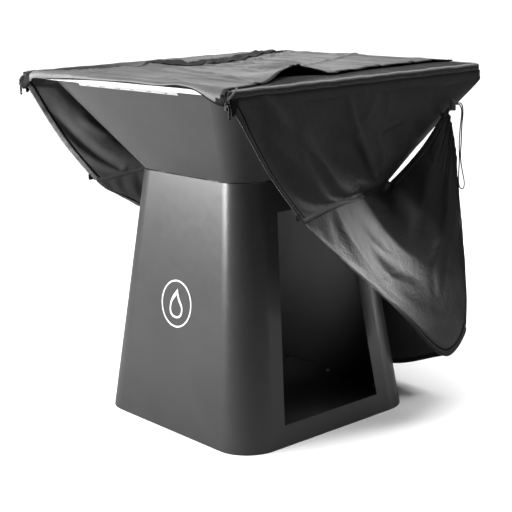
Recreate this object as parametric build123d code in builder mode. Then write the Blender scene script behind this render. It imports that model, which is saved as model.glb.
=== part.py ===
from build123d import *
import os
from math import hypot, pi, radians, tan

# A wood-fired plancha: a square steel pedestal with a log store, a flared fire bowl
# on top of it, and a square cooking plate under a tailored weather cover that is
# half drawn off. +Z is up, the origin is the middle of the footprint on the floor,
# -Y is the emblem's side and +X is the log store's side. All sizes are in mm.

# ---- Driving dimensions ----
SHEET = 3.0  # wall of the pedestal and the bowl

FOOT_HALF, FOOT_R = 293.0, 90.0  # pedestal at the floor: half width and corner radius
NECK_HALF, NECK_R = 211.5, 70.0  # pedestal at its top, and the bowl's own foot
PEDESTAL_H = 630.0
SHADOW_GAP = 3.0  # dark joint between the pedestal and the bowl
BOWL_Z = PEDESTAL_H + SHADOW_GAP
BOWL_H = 230.0
RIM_HALF, RIM_R = 368.3, 73.0
RIM_FLANGE = 22.0  # bowl rim folded inwards, under the plate
FOOT_FLANGE = 25.0  # pedestal's foot folded inwards, on the floor

DOOR_LOW, DOOR_HIGH = 51.0, 555.5  # log store opening, above the floor
DOOR_LOW_HALF, DOOR_HIGH_HALF = 159.0, 111.0

PLATE_HALF, PLATE_T, PLATE_R = 400.0, 10.0, 8.0
PLATE_Z = BOWL_Z + BOWL_H
PLATE_TOP = PLATE_Z + PLATE_T
HOLE_R = 150.0  # round hole in the plate, over the fire

FLOOR_TOP = 21.0  # log store's floor
FLOOR_HALF, FLOOR_R = 284.0, 84.0
RAIL_AT, RAIL_W, RAIL_L = 256.0, 20.0, 400.0
FLOOR_BOLT_AT, FLOOR_BOLT_STEP = 267.0, 177.0

DECK_HALF, DECK_R = 205.0, 64.0
TAB_STEP, TAB_AT = 100.0, 190.0  # bowl bolts along and out from the middle of each side

CLOTH = 2.5  # cover fabric with its seams, as a plain solid
LOOSE_CLOTH = 3.5  # the loose lower side panels, measured along X
AIR = 0.5  # clearance between the cover and the plate
COVER_TOP = PLATE_TOP + AIR + CLOTH
COVER_HALF = 403.5
BAND_LOW = PLATE_Z - 1.0  # bottom of the band that wraps the plate's edge
PIPING_R = 2.0

CORD_D = 3.0
LOCK_AT = Vector(399, 309, 784)  # middle of the cord lock's cross hole

os.makedirs("parts", exist_ok=True)


def finish_piece(piece, name):
    """Label one finished piece and write it as its own STEP file."""
    piece.part.label = name
    export_step(piece.part, f"parts/{name}.step")


def square_frustum(low_z, low_half, low_r, high_z, high_half, high_r):
    """Solid with straight sloping sides between two rounded squares."""
    with BuildPart() as frustum:
        with BuildSketch(Plane.XY.offset(low_z)):
            RectangleRounded(2 * low_half, 2 * low_half, low_r)
        with BuildSketch(Plane.XY.offset(high_z)):
            RectangleRounded(2 * high_half, 2 * high_half, high_r)
        loft(ruled=True)
    return frustum.part


def rounded_slab(low_z, high_z, half, radius):
    """Flat slab with a rounded square outline."""
    with BuildPart() as slab:
        with BuildSketch(Plane.XY.offset(low_z)):
            RectangleRounded(2 * half, 2 * half, radius)
        extrude(amount=high_z - low_z)
    return slab.part


def pedestal_half(z):
    """Outer half width of the pedestal at height z."""
    return FOOT_HALF + (NECK_HALF - FOOT_HALF) * z / PEDESTAL_H


def bowl_half(z):
    """Outer half width of the bowl at height z."""
    return NECK_HALF + (RIM_HALF - NECK_HALF) * (z - BOWL_Z) / BOWL_H


def around(along, out, z):
    """The same point on each of the four sides of the pedestal."""
    return [(along, out, z), (-out, along, z), (-along, -out, z), (out, -along, z)]


def bolt_group(places, head_z, shank_r, shank_l, head_r, head_h):
    """Socket button bolts, head down on head_z, one solid at each place."""
    with BuildPart() as bolts:
        with Locations(*[(x, y, head_z) for x, y in places]):
            Cylinder(head_r, head_h, align=(Align.CENTER, Align.CENTER, Align.MIN))
            Cylinder(shank_r, shank_l, align=(Align.CENTER, Align.CENTER, Align.MAX))
        tops = bolts.edges().filter_by(GeomType.CIRCLE).group_by(Axis.Z)[-1]
        fillet(tops, head_h * 0.55)
        with BuildSketch(Plane.XY.offset(head_z + head_h)):
            with Locations(*places):
                RegularPolygon(head_r * 0.42, 6)
        extrude(amount=-head_h * 0.6, mode=Mode.SUBTRACT)
    return bolts


def nut_group(places, top_z, shank_r, across, height):
    """Hexagon nuts hanging under top_z, one solid at each place."""
    with BuildPart() as nuts:
        with BuildSketch(Plane.XY.offset(top_z)):
            with Locations(*places):
                RegularPolygon(across / 2, 6, major_radius=False)
                Circle(shank_r + 0.05, mode=Mode.SUBTRACT)
        extrude(amount=-height)
    return nuts


def cloth_panel(rows, offset):
    """Closed solid: flat triangles through rows of points, thickened by one vector."""
    sides = [[[Vector(*p) for p in row] for row in rows]]
    sides.append([[p + Vector(*offset) for p in row] for row in sides[0]])
    last_row, last_col = len(rows) - 1, len(rows[0]) - 1
    faces = []
    for net in sides:
        for i in range(last_row):
            for j in range(last_col):
                a, b, c, d = net[i][j], net[i][j + 1], net[i + 1][j + 1], net[i + 1][j]
                faces.append(Face(Wire.make_polygon([a, b, c])))
                faces.append(Face(Wire.make_polygon([a, c, d])))
    rim = [(0, j) for j in range(last_col)] + [(i, last_col) for i in range(last_row)]
    rim += [(last_row, j) for j in range(last_col, 0, -1)] + [(i, 0) for i in range(last_row, 0, -1)]
    for (i, j), (k, m) in zip(rim, rim[1:] + rim[:1]):
        near, far = sides
        faces.append(Face(Wire.make_polygon([near[i][j], near[k][m], far[k][m], far[i][j]])))
    return Solid(Shell(faces)).fix()


def panel_piece(name, rows, offset):
    """One cloth panel as a finished piece."""
    with BuildPart() as panel:
        add(cloth_panel(rows, offset))
    finish_piece(panel, name)


def mirrored(rows):
    """The same net on the other side of the YZ plane."""
    return [[(-x, y, z) for x, y, z in row] for row in rows]


# ---- Pedestal ----
tab_places = [(x, y) for s in (-TAB_STEP, TAB_STEP) for x, y, z in around(s, TAB_AT, 0)]
TAB_T, TAB_W = 3.0, 36.0

with BuildPart() as pedestal_shell:
    add(square_frustum(0, FOOT_HALF, FOOT_R, PEDESTAL_H, NECK_HALF, NECK_R))
    add(
        square_frustum(
            0, FOOT_HALF - SHEET, FOOT_R - SHEET, PEDESTAL_H, NECK_HALF - SHEET, NECK_R - SHEET
        ),
        mode=Mode.SUBTRACT,
    )
    # foot flange, folded inwards
    with BuildSketch(Plane.XY):
        RectangleRounded(2 * (FOOT_HALF - 1), 2 * (FOOT_HALF - 1), FOOT_R - 1)
        inner = FOOT_HALF - FOOT_FLANGE
        RectangleRounded(2 * inner, 2 * inner, FOOT_R - FOOT_FLANGE, mode=Mode.SUBTRACT)
    extrude(amount=SHEET)
    # eight welded tabs under the deck
    with BuildSketch(Plane.XY.offset(PEDESTAL_H - TAB_T)):
        for x, y in tab_places:
            along_x = abs(y) > abs(x)
            reach = NECK_HALF - 1 - (TAB_AT - TAB_W / 2)
            mid = (NECK_HALF - 1 + TAB_AT - TAB_W / 2) / 2
            place = (x, mid if y > 0 else -mid) if along_x else (mid if x > 0 else -mid, y)
            with Locations(place):
                Rectangle(TAB_W if along_x else reach, reach if along_x else TAB_W)
        with Locations(*tab_places):
            Circle(4.5, mode=Mode.SUBTRACT)
    extrude(amount=TAB_T)
    # log store opening in the +X wall
    with BuildSketch(Plane.YZ.offset(150)):
        Polygon(
            (-DOOR_LOW_HALF, DOOR_LOW), (DOOR_LOW_HALF, DOOR_LOW),
            (DOOR_HIGH_HALF, DOOR_HIGH), (-DOOR_HIGH_HALF, DOOR_HIGH), align=None,
        )
    extrude(amount=FOOT_HALF, mode=Mode.SUBTRACT)
finish_piece(pedestal_shell, "pedestal_shell")

# ---- Log store floor: four angle rails on the foot flange, a floor plate, bolts and nuts ----
RAIL_LEG = 3.0
RAIL_Z = FLOOR_TOP - SHEET
floor_places = [
    (x, y)
    for step in (-FLOOR_BOLT_STEP, 0, FLOOR_BOLT_STEP)
    for x, y, z in around(step, FLOOR_BOLT_AT, 0)
]

with BuildPart() as floor_rails:
    for turn in range(4):
        with Locations(Location((0, 0, 0), (0, 0, 90 * turn))):
            with Locations((0, RAIL_AT + RAIL_W / 2, RAIL_Z - RAIL_LEG / 2)):
                Box(RAIL_L, RAIL_W, RAIL_LEG)
            with Locations((0, RAIL_AT + RAIL_LEG / 2, (RAIL_Z + SHEET) / 2)):
                Box(RAIL_L, RAIL_LEG, RAIL_Z - SHEET)
    with Locations(*[(x, y, RAIL_Z) for x, y in floor_places]):
        Cylinder(3.4, 4 * RAIL_LEG, mode=Mode.SUBTRACT)
finish_piece(floor_rails, "floor_rails")

with BuildPart() as store_floor:
    with BuildSketch(Plane.XY.offset(RAIL_Z)):
        RectangleRounded(2 * FLOOR_HALF, 2 * FLOOR_HALF, FLOOR_R)
        with Locations(*floor_places):
            Circle(3.4, mode=Mode.SUBTRACT)
    extrude(amount=SHEET)
finish_piece(store_floor, "store_floor")

finish_piece(bolt_group(floor_places, FLOOR_TOP, 3.0, 16.0, 6.5, 4.0), "floor_bolts")
finish_piece(nut_group(floor_places, RAIL_Z - RAIL_LEG, 3.0, 10.0, 5.0), "floor_nuts")

# ---- Deck that closes the pedestal and carries the bowl ----
with BuildPart() as top_deck:
    with BuildSketch(Plane.XY.offset(PEDESTAL_H)):
        RectangleRounded(2 * DECK_HALF, 2 * DECK_HALF, DECK_R)
        with Locations(*tab_places):
            Circle(4.5, mode=Mode.SUBTRACT)
    extrude(amount=SHADOW_GAP)
finish_piece(top_deck, "top_deck")

# ---- Emblem: a plain ring with a flame, raised off the front face ----
EMBLEM_Z, EMBLEM_R, EMBLEM_LINE, EMBLEM_T = 318.0, 59.0, 4.0, 0.8
wall_lean = (FOOT_HALF - NECK_HALF) / PEDESTAL_H
emblem_plane = Plane(
    origin=(0, -pedestal_half(EMBLEM_Z), EMBLEM_Z), x_dir=(1, 0, 0), z_dir=(0, -1, wall_lean)
)
with BuildPart() as emblem:
    with BuildSketch(emblem_plane):
        Circle(EMBLEM_R)
        Circle(EMBLEM_R - EMBLEM_LINE, mode=Mode.SUBTRACT)
        with BuildLine():
            Spline((2, 38), (25, -8), (0, -36), tangents=[(0.2, -1), (-1, 0)])
            Spline((0, -36), (-25, -6), (2, 38), tangents=[(-1, 0), (0.9, 1)])
        make_face()
        with BuildLine():
            Spline((1, 24), (20, -9), (0, -31), tangents=[(0.2, -1), (-1, 0)])
            Spline((0, -31), (-20, -8), (1, 24), tangents=[(-1, 0), (0.9, 1)])
        make_face(mode=Mode.SUBTRACT)
    extrude(amount=EMBLEM_T)
finish_piece(emblem, "emblem")

# ---- Fire bowl, its bolts, and the loose fire grate in it ----
bowl_slope = (RIM_HALF - NECK_HALF) / BOWL_H
WALL_ACROSS = SHEET * hypot(1, bowl_slope)  # wall of the bowl measured level
with BuildPart() as fire_bowl:
    add(square_frustum(BOWL_Z, NECK_HALF, NECK_R, PLATE_Z, RIM_HALF, RIM_R))
    add(
        square_frustum(
            BOWL_Z + SHEET, bowl_half(BOWL_Z + SHEET) - WALL_ACROSS, NECK_R - SHEET,
            PLATE_Z, RIM_HALF - WALL_ACROSS, RIM_R - SHEET,
        ),
        mode=Mode.SUBTRACT,
    )
    with BuildSketch(Plane.XY.offset(PLATE_Z)):
        outer = bowl_half(PLATE_Z - SHEET) - 0.5
        RectangleRounded(2 * outer, 2 * outer, RIM_R - 1.5)
        inner = RIM_HALF - RIM_FLANGE
        RectangleRounded(2 * inner, 2 * inner, RIM_R - RIM_FLANGE, mode=Mode.SUBTRACT)
    extrude(amount=-SHEET)
    with Locations(*[(x, y, BOWL_Z) for x, y in tab_places]):
        Cylinder(4.5, 4 * SHEET, mode=Mode.SUBTRACT)
finish_piece(fire_bowl, "fire_bowl")

finish_piece(bolt_group(tab_places, BOWL_Z + SHEET, 4.0, 22.0, 8.0, 5.0), "bowl_bolts")
finish_piece(nut_group(tab_places, PEDESTAL_H - TAB_T, 4.0, 13.0, 6.5), "bowl_nuts")

GRATE_HALF, GRATE_FOOT = 135.0, 26.0
GRATE_Z = BOWL_Z + SHEET + GRATE_FOOT
with BuildPart() as fire_grate:
    for x in (-110, 110):
        with Locations(Location((x, 0, GRATE_Z), (90, 0, 0))):
            Cylinder(5, 2 * GRATE_HALF)
        with Locations((x, 110, BOWL_Z + SHEET), (x, -110, BOWL_Z + SHEET)):
            Cylinder(4, GRATE_FOOT, align=(Align.CENTER, Align.CENTER, Align.MIN))
    for bar in range(8):
        y = -119 + 34 * bar
        with Locations(Location((0, y, GRATE_Z + 8), (0, 90, 0))):
            Cylinder(4.5, 2 * GRATE_HALF)
finish_piece(fire_grate, "fire_grate")

# ---- Rim label: a plain strip with a row of short generic dashes ----
LABEL_L, LABEL_H, LABEL_T, LABEL_Z, LABEL_X = 390.0, 13.0, 0.6, 855.8, -16.0
label_plane = Plane(
    origin=(LABEL_X, -bowl_half(LABEL_Z), LABEL_Z), x_dir=(1, 0, 0), z_dir=(0, -1, -bowl_slope)
)
with BuildPart() as rim_label:
    with BuildSketch(label_plane):
        Rectangle(LABEL_L, LABEL_H)
    extrude(amount=LABEL_T)
finish_piece(rim_label, "rim_label")

# ---- Plancha plate, its lugs, and the cooking grate in its hole ----
LUG_L, LUG_T, LUG_H = 60.0, 4.0, 15.0
LUG_OUT = RIM_HALF - RIM_FLANGE - 1.0
TAB_LOW = 4.0  # thickness of the tabs that carry the cooking grate

with BuildPart() as plancha_plate:
    add(rounded_slab(PLATE_Z, PLATE_TOP, PLATE_HALF, PLATE_R))
    with Locations((0, 0, PLATE_Z)):
        Cylinder(HOLE_R, 4 * PLATE_T, mode=Mode.SUBTRACT)
    top_arcs = plancha_plate.edges().filter_by(GeomType.CIRCLE).group_by(Axis.Z)[-1]
    fillet(top_arcs.sort_by(SortBy.RADIUS)[-1], 1.5)
finish_piece(plancha_plate, "plancha_plate")

with BuildPart() as plate_lugs:
    for turn in range(4):
        with Locations(Location((0, 0, 0), (0, 0, 90 * turn))):
            with Locations((0, LUG_OUT - LUG_T / 2, PLATE_Z - LUG_H / 2)):
                Box(LUG_L, LUG_T, LUG_H)
finish_piece(plate_lugs, "plate_lugs")

with BuildPart() as grate_tabs:
    for turn in range(4):
        with Locations(Location((0, 0, 0), (0, 0, 45 + 90 * turn))):
            with Locations((0, HOLE_R, PLATE_Z - TAB_LOW / 2)):
                Box(24, 26, TAB_LOW)
finish_piece(grate_tabs, "grate_tabs")

GRATE_R, RING_W, RING_H = 147.0, 8.0, 8.0
with BuildPart() as cooking_grate:
    with BuildSketch(Plane.XY.offset(PLATE_Z)):
        Circle(GRATE_R)
        Circle(GRATE_R - RING_W, mode=Mode.SUBTRACT)
    extrude(amount=RING_H)
    for bar in range(11):
        x = -125 + 25 * bar
        reach = 2 * (GRATE_R**2 - x**2) ** 0.5 - RING_W
        with Locations((x, 0, PLATE_Z + RING_H / 2)):
            Box(5, reach, RING_H)
finish_piece(cooking_grate, "cooking_grate")

# ---- Cover: top panel with the band that wraps three edges of the plate ----
with BuildPart() as cover_top:
    add(rounded_slab(BAND_LOW, COVER_TOP, COVER_HALF, PLATE_R + 2))
    inner_half = COVER_HALF - CLOTH
    add(rounded_slab(BAND_LOW, PLATE_TOP + AIR, inner_half, PLATE_R), mode=Mode.SUBTRACT)
    with Locations((0, -COVER_HALF, BAND_LOW)):
        Box(
            2 * inner_half, 30, PLATE_TOP + AIR - BAND_LOW,
            align=(Align.CENTER, Align.CENTER, Align.MIN), mode=Mode.SUBTRACT,
        )
finish_piece(cover_top, "cover_top")

# ---- Cover: front panel, an hourglass, unzipped and thrown back over the top ----
FLAP_T = 3.0
FLAP_LOW = COVER_TOP + 0.3
FLAP_ROLL = 407.0  # the fold at the front edge
FLAP_BACK = 408.5  # where it turns down behind the rear edge
FLAP_DROP = 775.0
flap_left = [
    (-396, -407), (-300, -365), (-250, -304), (-176, -171), (-118, -80), (-150, 50), (-245, 260),
    (-272, 412),
]
flap_right = [(396, -407), (368, -262), (318, -120), (342, -50), (328, 120), (312, 412)]
with BuildPart() as cover_front_flap:
    with BuildSketch(Plane.YZ.offset(-COVER_HALF)):
        Polygon(
            (-FLAP_ROLL + 3.5, FLAP_LOW), (-FLAP_ROLL, FLAP_LOW + FLAP_T / 2),
            (-FLAP_ROLL + 3.5, FLAP_LOW + FLAP_T), (FLAP_BACK + FLAP_T, FLAP_LOW + FLAP_T),
            (FLAP_BACK + FLAP_T, FLAP_DROP), (FLAP_BACK, FLAP_DROP), (FLAP_BACK, FLAP_LOW),
            align=None,
        )
    extrude(amount=2 * COVER_HALF)
    with BuildSketch(Plane.XY.offset(FLAP_DROP)):
        Polygon(*flap_left, *reversed(flap_right), align=None)
    extrude(amount=COVER_TOP, mode=Mode.INTERSECT)
finish_piece(cover_front_flap, "cover_front_flap")

# ---- Cover: side panels, upper part. Rows run down, columns run from -Y to +Y ----
upper_right = [
    [(403.5, -400, 861.5), (403.5, -130, 861.5), (403.5, 135, 861.5), (403.5, 403, 861.5)],
    [(403.5, -387, 838), (403.5, -126, 838), (403.5, 135, 838), (403.5, 403, 838)],
    [(403.5, -345, 768), (403.5, -112, 768), (394, 122, 772), (366, 366, 782)],
    [(403.5, -287, 680), (398, -92, 681), (364, 108, 686), (305, 305, 690)],
    [(403.5, -200, 574), (376, -64, 590), (321, 80, 584), (245, 245, 588)],
]
panel_piece("cover_right_upper", upper_right, (-CLOTH, 0, 0))
panel_piece("cover_left_upper", mirrored(upper_right), (CLOTH, 0, 0))

# ---- Cover: side panels, lower part, hooked up by the hem at the rear corner ----
# The first row is the neck seam and the rear seam up to the raised corner of the hem,
# the last row is the free zip edge down to its tip and the hem from there upwards.
lower_right = [
    [
        (403.5, -198, 570), (376, -63, 586), (321, 81, 580),
        (256, 240, 586), (322, 276, 662), (390, 302, 776),
    ],
    [
        (404, -186, 558), (404, -62, 512), (392, 92, 440),
        (376, 246, 400), (388, 314, 455), (398, 312, 715),
    ],
    [
        (406, -170, 543), (415, -60, 445), (430, 100, 303),
        (440, 245, 173), (421, 345, 228), (402, 322, 640),
    ],
]
panel_piece("cover_right_lower", lower_right, (-LOOSE_CLOTH, 0, 0))

lower_left = [
    [
        (-403.5, -198, 570), (-376, -63, 586), (-321, 81, 580),
        (-256, 240, 586), (-322, 276, 662), (-390, 302, 776),
    ],
    [
        (-404, -186, 558), (-402, -62, 534), (-388, 92, 462),
        (-376, 246, 425), (-388, 314, 470), (-398, 312, 715),
    ],
    [
        (-405, -170, 546), (-410, -60, 484), (-420, 100, 378),
        (-432, 250, 262), (-421, 345, 300), (-402, 322, 640),
    ],
]
panel_piece("cover_left_lower", lower_left, (LOOSE_CLOTH, 0, 0))

# ---- Cover: rear panel, upper and lower part. Columns run from -X to +X ----
upper_rear = [
    [(-399, 403.5, 861.5), (-130, 403.5, 861.5), (130, 403.5, 861.5), (399, 403.5, 861.5)],
    [(-399, 403.5, 838), (-130, 403.5, 838), (130, 403.5, 838), (399, 403.5, 838)],
    [(-361, 366, 782), (-124, 376, 778), (124, 376, 778), (361, 366, 782)],
    [(-300, 305, 690), (-104, 322, 684), (104, 322, 684), (300, 305, 690)],
    [(-240, 247, 588), (-82, 264, 582), (82, 264, 582), (240, 247, 588)],
]
panel_piece("cover_rear_upper", upper_rear, (0, -CLOTH, 0))

lower_rear = [
    [(-240, 250, 584), (-82, 266, 578), (82, 266, 578), (240, 250, 584)],
    [(-262, 296, 440), (-90, 300, 420), (96, 304, 420), (262, 296, 440)],
    [(-290, 345, 260), (-100, 342, 240), (108, 346, 235), (288, 344, 265)],
    [(-312, 385, 92), (-120, 392, 40), (122, 390, 44), (310, 385, 108)],
]
panel_piece("cover_rear_lower", lower_rear, (0, -CLOTH, 0))

# ---- Cover: piping along the band, and the two halves of each corner zip ----
PIPING_AT = COVER_HALF + PIPING_R + 0.1
PIPING_L = 2 * COVER_HALF - 14
for name, turn in (("piping_rear", 0), ("piping_left", 90), ("piping_right", 270)):
    with BuildPart() as piping:
        with Locations(Location((0, 0, 0), (0, 0, turn))):
            with Locations(Location((0, PIPING_AT, BAND_LOW), (0, 90, 0))):
                Cylinder(PIPING_R, PIPING_L)
    finish_piece(piping, name)

TAPE_W, TAPE_T = 7.0, 1.6
TAPE_GAP = 0.3  # between the panel's edge and the tape, as separate solids


def tape_rows(edge, across):
    """Two rows of points: the panel's free edge, and the tape's own edge beyond it."""
    way = Vector(*across).normalized()
    near = [Vector(*p) + way * TAPE_GAP for p in edge]
    return [[tuple(p) for p in near], [tuple(p + way * TAPE_W) for p in near]]


def free_edge(upper, lower):
    """The free edge of a side panel: its near end row by row, then the lower part's hem row."""
    return [row[0] for row in upper] + lower[2][:4]


TAPE_WAY = (0, -0.75, -0.66)  # the tape stands out from the panel's edge, along the panel
right_zip = free_edge(upper_right, lower_right)
left_zip = free_edge(mirrored(upper_right), lower_left)
panel_piece("zip_tape_right", tape_rows(right_zip, TAPE_WAY), (-TAPE_T, 0, 0))
panel_piece("zip_tape_left", tape_rows(left_zip, TAPE_WAY), (TAPE_T, 0, 0))

FLAP_TOP = FLAP_LOW + FLAP_T + 0.1


def flap_tape(name, outline, inward):
    """The zip tape sewn on the flap's edge, from the front fold to the rear edge."""
    line = [(x, y, FLAP_TOP) for x, y in outline]
    line[0] = (line[0][0], 4 - FLAP_ROLL, FLAP_TOP)
    line[-1] = (line[-1][0], FLAP_BACK, FLAP_TOP)
    panel_piece(name, [line, [(x + inward, y, z) for x, y, z in line]], (0, 0, TAPE_T))


flap_tape("flap_tape_right", flap_right, -TAPE_W)
flap_tape("flap_tape_left", flap_left, TAPE_W)

# small webbing tabs at the neck, which close it when the cover is on
TAB_H, TAB_WIDE, TAB_THICK = 16.0, 13.0, 1.6
for name, side in (("neck_tab_right", 1), ("neck_tab_left", -1)):
    with BuildPart() as neck_tab:
        with Locations((side * (COVER_HALF + TAB_THICK / 2 + 0.1), -216, 584)):
            Box(TAB_THICK, TAB_WIDE, TAB_H)
        fillet(neck_tab.edges().filter_by(Axis.X), 2)
    finish_piece(neck_tab, name)

# ---- Cover: zip sliders at the top of both corner zips, each with a hinged puller ----
SLIDER_X, SLIDER_Y, SLIDER_Z = 403.0, -407.0, 845.0
SLIDER_T, SLIDER_W, SLIDER_H = 8.0, 10.0, 15.0
PIN_R = 0.9
PIN_X, PIN_Z = SLIDER_X + SLIDER_T / 2 + 3.2, SLIDER_Z + 2.0
PULLER_L, PULLER_W, PULLER_T, EYE_R = 28.0, 5.2, 1.8, 2.3


def slider_piece(name, side):
    """Slider on the tape, with a bridge on its outer face for the puller's eye."""
    with BuildPart() as slider:
        with Locations((side * SLIDER_X, SLIDER_Y, SLIDER_Z)):
            Box(SLIDER_T, SLIDER_W, SLIDER_H)
        fillet(slider.edges().filter_by(Axis.Z), 1.5)
        for ear in (-4.0, 4.0):
            with Locations((side * (PIN_X - 1.2), SLIDER_Y + ear, PIN_Z)):
                Box(5.0, 1.6, 4.4)
        with Locations(Location((side * PIN_X, SLIDER_Y, PIN_Z), (90, 0, 0))):
            Cylinder(PIN_R, 9.4)
    finish_piece(slider, name)


def puller_piece(name, side):
    """Tongue that hangs from the bridge, with an eye round the pin."""
    with BuildPart() as puller:
        with Locations(Location((side * PIN_X, SLIDER_Y, PIN_Z), (90, 0, 0))):
            Cylinder(EYE_R, PULLER_W)
        with Locations((side * PIN_X, SLIDER_Y, PIN_Z - PULLER_L / 2)):
            Box(PULLER_T, PULLER_W, PULLER_L)
        fillet(puller.edges().filter_by(Axis.X).group_by(Axis.Z)[0], 2.4)
        with Locations(Location((side * PIN_X, SLIDER_Y, PIN_Z), (90, 0, 0))):
            Cylinder(PIN_R + 0.3, 3 * PULLER_W, mode=Mode.SUBTRACT)
        with Locations(Location((side * PIN_X, SLIDER_Y, PIN_Z - 22), (0, 90, 0))):
            Cylinder(1.4, 3 * PULLER_T, mode=Mode.SUBTRACT)
    finish_piece(puller, name)


for word, side in (("right", 1), ("left", -1)):
    slider_piece(f"zip_slider_{word}", side)
    puller_piece(f"zip_puller_{word}", side)

# ---- Cover: drawcord loop with its lock, at the raised corner of the hem ----
OUT = Vector(0.655, 0.756, 0)  # the way the cord leaves the lock, level
ACROSS = Vector(0.756, -0.655, 0)
LOCK_R, BORE_R = 7.5, 5.2
BODY_SLOT, BUTTON_SLOT = (9.8, 5.0), (9.0, 5.2)  # width and height of the cross holes
LOCK_LOW, LOCK_HIGH, BORE_LOW = LOCK_AT.Z - 14, LOCK_AT.Z + 8, LOCK_AT.Z - 11
BUTTON_LOW, BUTTON_HIGH = LOCK_AT.Z - 4, LOCK_AT.Z + 13
cord_plane = Plane(origin=LOCK_AT - OUT * 20, x_dir=ACROSS, z_dir=OUT)

with BuildPart() as cord_lock_body:
    with Locations((LOCK_AT.X, LOCK_AT.Y, LOCK_LOW)):
        Cylinder(LOCK_R, LOCK_HIGH - LOCK_LOW, align=(Align.CENTER, Align.CENTER, Align.MIN))
    fillet(cord_lock_body.edges().filter_by(GeomType.CIRCLE), 1.2)
    with Locations((LOCK_AT.X, LOCK_AT.Y, BORE_LOW)):
        Cylinder(
            BORE_R, 40, align=(Align.CENTER, Align.CENTER, Align.MIN), mode=Mode.SUBTRACT
        )
    with BuildSketch(cord_plane):
        SlotOverall(*BODY_SLOT)
    extrude(amount=40, mode=Mode.SUBTRACT)
finish_piece(cord_lock_body, "cord_lock_body")

with BuildPart() as cord_lock_button:
    with Locations((LOCK_AT.X, LOCK_AT.Y, BUTTON_LOW)):
        Cylinder(
            BORE_R - 0.25, BUTTON_HIGH - BUTTON_LOW, align=(Align.CENTER, Align.CENTER, Align.MIN)
        )
    fillet(cord_lock_button.edges().filter_by(GeomType.CIRCLE).group_by(Axis.Z)[-1], 1.2)
    with BuildSketch(cord_plane):
        SlotOverall(*BUTTON_SLOT)
    extrude(amount=40, mode=Mode.SUBTRACT)
finish_piece(cord_lock_button, "cord_lock_button")

with BuildPart() as cord_lock_spring:
    with BuildSketch(Plane.XY.offset(BORE_LOW)):
        with Locations((LOCK_AT.X, LOCK_AT.Y)):
            Circle(BORE_R - 0.8)
            Circle(BORE_R - 1.8, mode=Mode.SUBTRACT)
    extrude(amount=BUTTON_LOW - BORE_LOW)
finish_piece(cord_lock_spring, "cord_lock_spring")

with BuildPart() as hem_eyelet:
    with BuildSketch(Plane(origin=(378, 296, 757), x_dir=(0, 1, 0), z_dir=(1, 0.35, 0.12))):
        Circle(8)
        Circle(4.5, mode=Mode.SUBTRACT)
    extrude(amount=3.0, both=True)
finish_piece(hem_eyelet, "hem_eyelet")

# the loop hangs from the lock: (out, across, up) from the middle of the cross hole
loop_points = [
    (7, 2.6, 0), (14, 2.7, 2), (20, 2.9, -5), (22, 2.8, -22), (18.5, 2.6, -52),
    (16, 3.2, -92), (17.5, 3.0, -134), (16, 3.2, -168), (15.5, 3.4, -190), (19, 2.8, -206),
    (29, 0, -209), (32, -2.8, -194), (27, -3.2, -170), (20, -3.0, -132), (22.5, -3.2, -90),
    (23, -3.0, -50), (26, -2.9, -20), (23.5, -2.8, 0), (15.5, -2.6, 5), (7, -2.5, 0.4),
]
cord_points = [LOCK_AT + OUT * a + ACROSS * b + Vector(0, 0, c) for a, b, c in loop_points]


def corner_radius(before, at, after):
    """The largest fillet that the shorter of two runs allows."""
    first, second = at - before, after - at
    turn = radians(first.get_angle(second))
    return 0.45 * min(first.length, second.length) / tan(turn / 2)


radii = [corner_radius(*cord_points[i - 1 : i + 2]) for i in range(1, len(cord_points) - 1)]
with BuildPart() as drawcord_loop:
    with BuildLine() as route:
        FilletPolyline(*cord_points, radius=radii)
    with BuildSketch(Plane(origin=route.line @ 0, z_dir=route.line % 0)):
        Circle(CORD_D / 2)
    sweep()
finish_piece(drawcord_loop, "drawcord_loop")

section = pi * (CORD_D / 2) ** 2
cord_length = sum(edge.length for edge in route.line.edges())
print("cord radii", [round(r, 1) for r in radii])
print("cord length", round(cord_length, 1))
print("cord volume against its section's", drawcord_loop.part.volume / (section * cord_length))
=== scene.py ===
import math

import bpy
import numpy as np
from mathutils import Matrix, Vector


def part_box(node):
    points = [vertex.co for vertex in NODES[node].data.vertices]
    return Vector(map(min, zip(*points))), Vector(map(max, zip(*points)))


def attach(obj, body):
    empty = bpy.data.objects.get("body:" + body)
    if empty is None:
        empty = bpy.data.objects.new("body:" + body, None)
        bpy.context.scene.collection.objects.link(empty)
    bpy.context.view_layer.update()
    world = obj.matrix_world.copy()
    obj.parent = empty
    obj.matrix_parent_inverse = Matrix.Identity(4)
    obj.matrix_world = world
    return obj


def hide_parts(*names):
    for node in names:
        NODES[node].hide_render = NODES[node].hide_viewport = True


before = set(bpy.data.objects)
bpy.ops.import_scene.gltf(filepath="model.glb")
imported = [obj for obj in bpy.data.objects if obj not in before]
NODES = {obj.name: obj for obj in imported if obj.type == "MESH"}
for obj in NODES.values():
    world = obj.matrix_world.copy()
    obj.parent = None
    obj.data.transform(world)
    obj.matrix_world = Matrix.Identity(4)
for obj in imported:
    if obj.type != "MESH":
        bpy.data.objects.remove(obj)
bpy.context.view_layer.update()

MM = 0.001

CAMERA_AZIMUTH, CAMERA_ELEVATION, CAMERA_ROLL = 49.11, 13.29, -1.39  # degrees
CAMERA_AIM = Vector((0.0115, 0.0007, 0.3966))
CAMERA_DISTANCE, CAMERA_LENS = 3.2303, 88.38

CORD_D = 3.0 * MM
LOCK_AT = Vector((399, 309, 784)) * MM  # middle of the cord lock's cross hole

CLOTH_T = 1.0 * MM  # visible thickness of the cover fabric
FLOOR_BOUNCE = 0.25  # how much light the floor throws back at the object
SLACK = 0.001  # how much longer the cloth is than the net it hangs on
SIM_FRAMES = 26


# ---- Small helpers ----
def link(obj):
    bpy.context.scene.collection.objects.link(obj)
    return obj


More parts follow.
